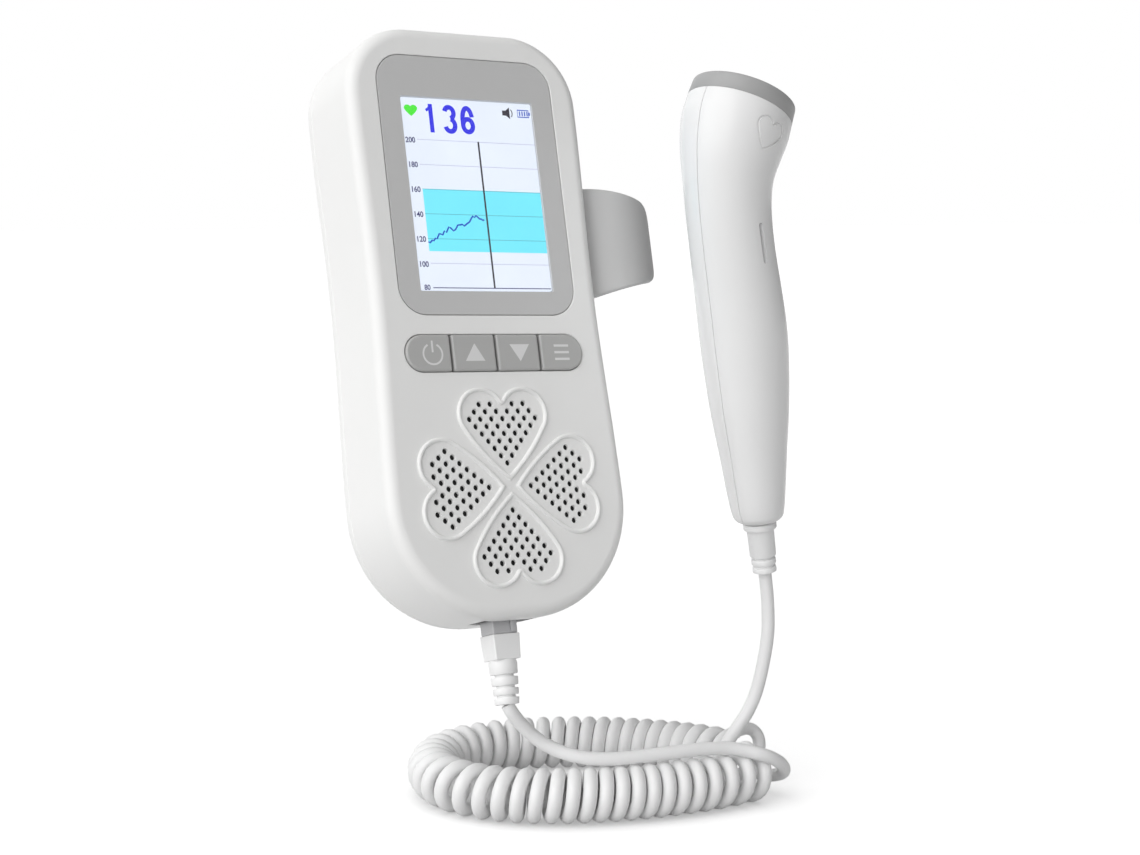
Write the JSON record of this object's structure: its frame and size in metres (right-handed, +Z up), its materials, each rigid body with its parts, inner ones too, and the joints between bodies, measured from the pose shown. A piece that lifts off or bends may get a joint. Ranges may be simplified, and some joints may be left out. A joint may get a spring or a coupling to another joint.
{
  "type": "fetal doppler monitor",
  "caption": "White hand-held fetal doppler with colour display, grey keys, heart-shaped speaker grille, clip for the probe, and a probe on a coiled white lead",
  "frame": {"origin": "on the unit's flat back, in the middle of its upper part, where the unit is held", "axes": "+Z up, square to the floor that the coil lies on; -Y the side that the display faces; +X to the right seen from the front"},
  "size_m": [0.112, 0.0839, 0.1941],
  "materials": {
    "white_shell": "satin moulded ABS",
    "bezel_grey": "smooth satin",
    "clear_window": "clear, polished",
    "lcd_glass": "lit colour display",
    "black_plastic": "moulded",
    "board_green": "solder mask",
    "screw_steel": "zinc plated",
    "key_grey": "soft silicone",
    "cell_wrap": "printed film",
    "contact_brass": "gold plated",
    "holder_grey": "moulded",
    "plug_clear": "smoke-clear moulded",
    "lead_white": "smooth PVC jacket",
    "ring_grey": "moulded",
    "face_pad": "smooth epoxy",
    "crystal_cream": "ceramic",
    "light_bar": "translucent"
  },
  "bodies": {
    "housing": {"front_shell": "white_shell", "rear_shell": "white_shell", "display_bezel": "bezel_grey", "display_window": "clear_window", "lcd_panel": "lcd_glass", "lcd_tray": "black_plastic", "main_board": "board_green", "board_screws": "screw_steel", "key_switches": "black_plastic", "speaker_basket": "screw_steel", "speaker_cone": "black_plastic", "speaker_magnet": "screw_steel", "battery_cells": "cell_wrap", "battery_contacts": "contact_brass", "earphone_jack": "black_plastic", "probe_socket": "black_plastic", "housing_screws": "screw_steel", "probe_holder": "holder_grey", "holder_screws": "screw_steel", "modular_plug": "plug_clear", "plug_contacts": "contact_brass", "plug_boot": "lead_white", "lead_unit": "lead_white", "lead_coil": "lead_white", "lead_probe": "lead_white"},
    "power_key": {"key_power": "key_grey"},
    "up_key": {"key_up": "key_grey"},
    "down_key": {"key_down": "key_grey"},
    "mode_key": {"key_mode": "key_grey"},
    "door": {"battery_door": "white_shell"},
    "probe": {"probe_front_shell": "white_shell", "probe_rear_shell": "white_shell", "probe_ring": "ring_grey", "probe_face": "face_pad", "piezo_crystals": "crystal_cream", "crystal_backing": "black_plastic", "probe_board": "board_green", "probe_light": "light_bar", "probe_screws": "screw_steel", "probe_relief": "lead_white"}
  },
  "joints": [
    {"name": "power_press", "type": "slide", "parent": "housing", "child": "power_key", "axis": [0, 0.9613, -0.2756], "range_m": [0, 0.0005], "stiffness_N_per_m": 1000},
    {"name": "up_press", "type": "slide", "parent": "housing", "child": "up_key", "axis": [0, 0.9613, -0.2756], "range_m": [0, 0.0005], "stiffness_N_per_m": 1000},
    {"name": "down_press", "type": "slide", "parent": "housing", "child": "down_key", "axis": [0, 0.9613, -0.2756], "range_m": [0, 0.0005], "stiffness_N_per_m": 1000},
    {"name": "mode_press", "type": "slide", "parent": "housing", "child": "mode_key", "axis": [0, 0.9613, -0.2756], "range_m": [0, 0.0005], "stiffness_N_per_m": 1000},
    {"name": "door_slide", "type": "slide", "parent": "housing", "child": "door", "axis": [-0.0297, -0.2755, -0.9608], "range_m": [0, 0.03]},
    {"name": "probe_lift", "type": "slide", "parent": "housing", "child": "probe", "axis": [0, 0, 1], "range_m": [0, 0.06]}
  ]
}
